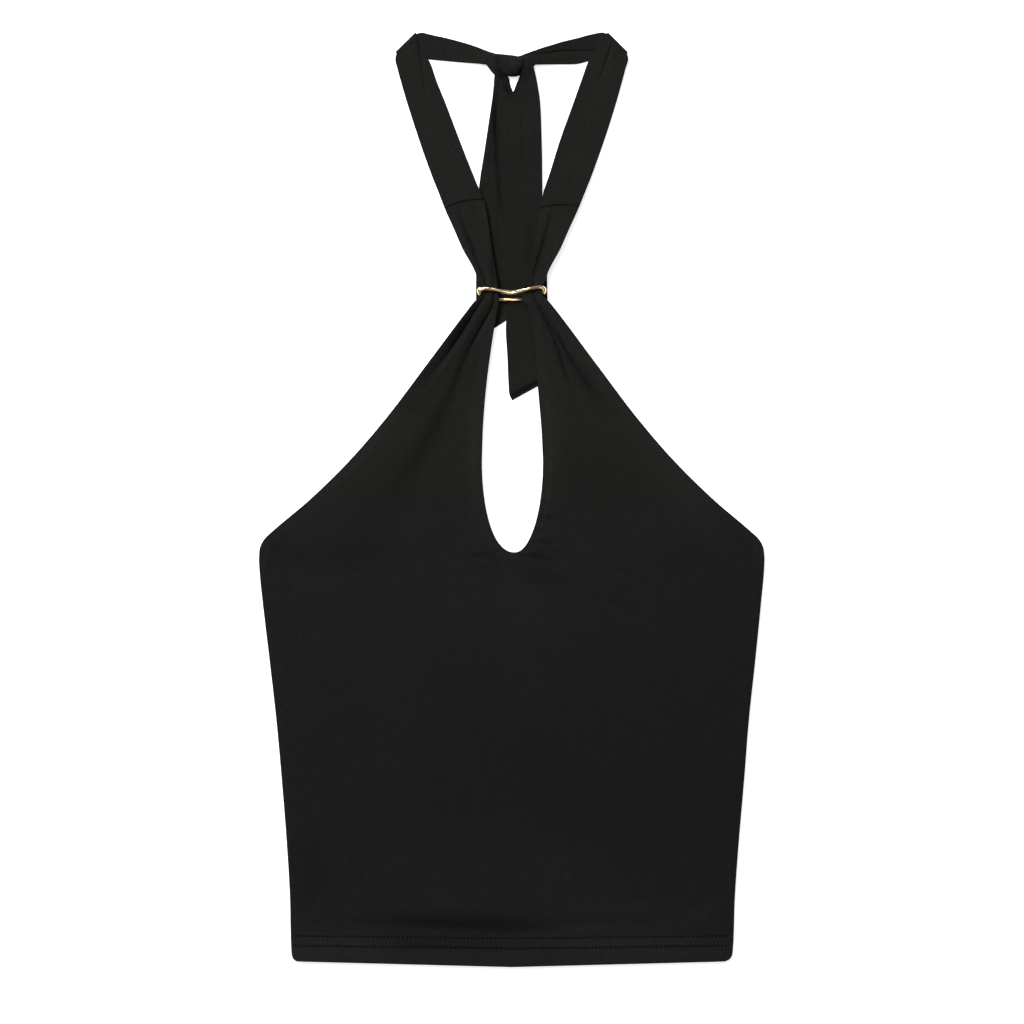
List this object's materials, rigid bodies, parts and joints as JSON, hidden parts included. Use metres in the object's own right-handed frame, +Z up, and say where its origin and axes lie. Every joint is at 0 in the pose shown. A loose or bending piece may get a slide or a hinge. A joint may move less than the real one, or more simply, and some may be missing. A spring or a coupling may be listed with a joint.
{
  "type": "halter-neck top",
  "caption": "Cropped halter-neck top in black jersey, laid flat, with a front keyhole gathered through a gold wire ring and neck straps tied in a half knot",
  "frame": {"origin": "on the table under the middle of the whole garment as it lies, halfway between hem and neck and between the two sides", "axes": "+Z up from the table through the front, +Y from the hem to the neck, +X towards the right of the garment as seen from above with the neck away from the viewer"},
  "size_m": [0.3715, 0.6866, 0.0115],
  "materials": {
    "jersey_front": "fine black stretch jersey with a faint dry sheen",
    "jersey_back": "fine black stretch jersey with a faint dry sheen",
    "jersey_straps": "fine black stretch jersey, turned and doubled",
    "gold_wire": "polished pale gold plate"
  },
  "bodies": {
    "root": {"front_panel": "jersey_front", "back_panel": "jersey_back", "strap_left": "jersey_straps", "strap_right": "jersey_straps", "knot": "jersey_straps", "tail_left": "jersey_straps", "tail_right": "jersey_straps", "ring": "gold_wire"}
  },
  "joints": []
}
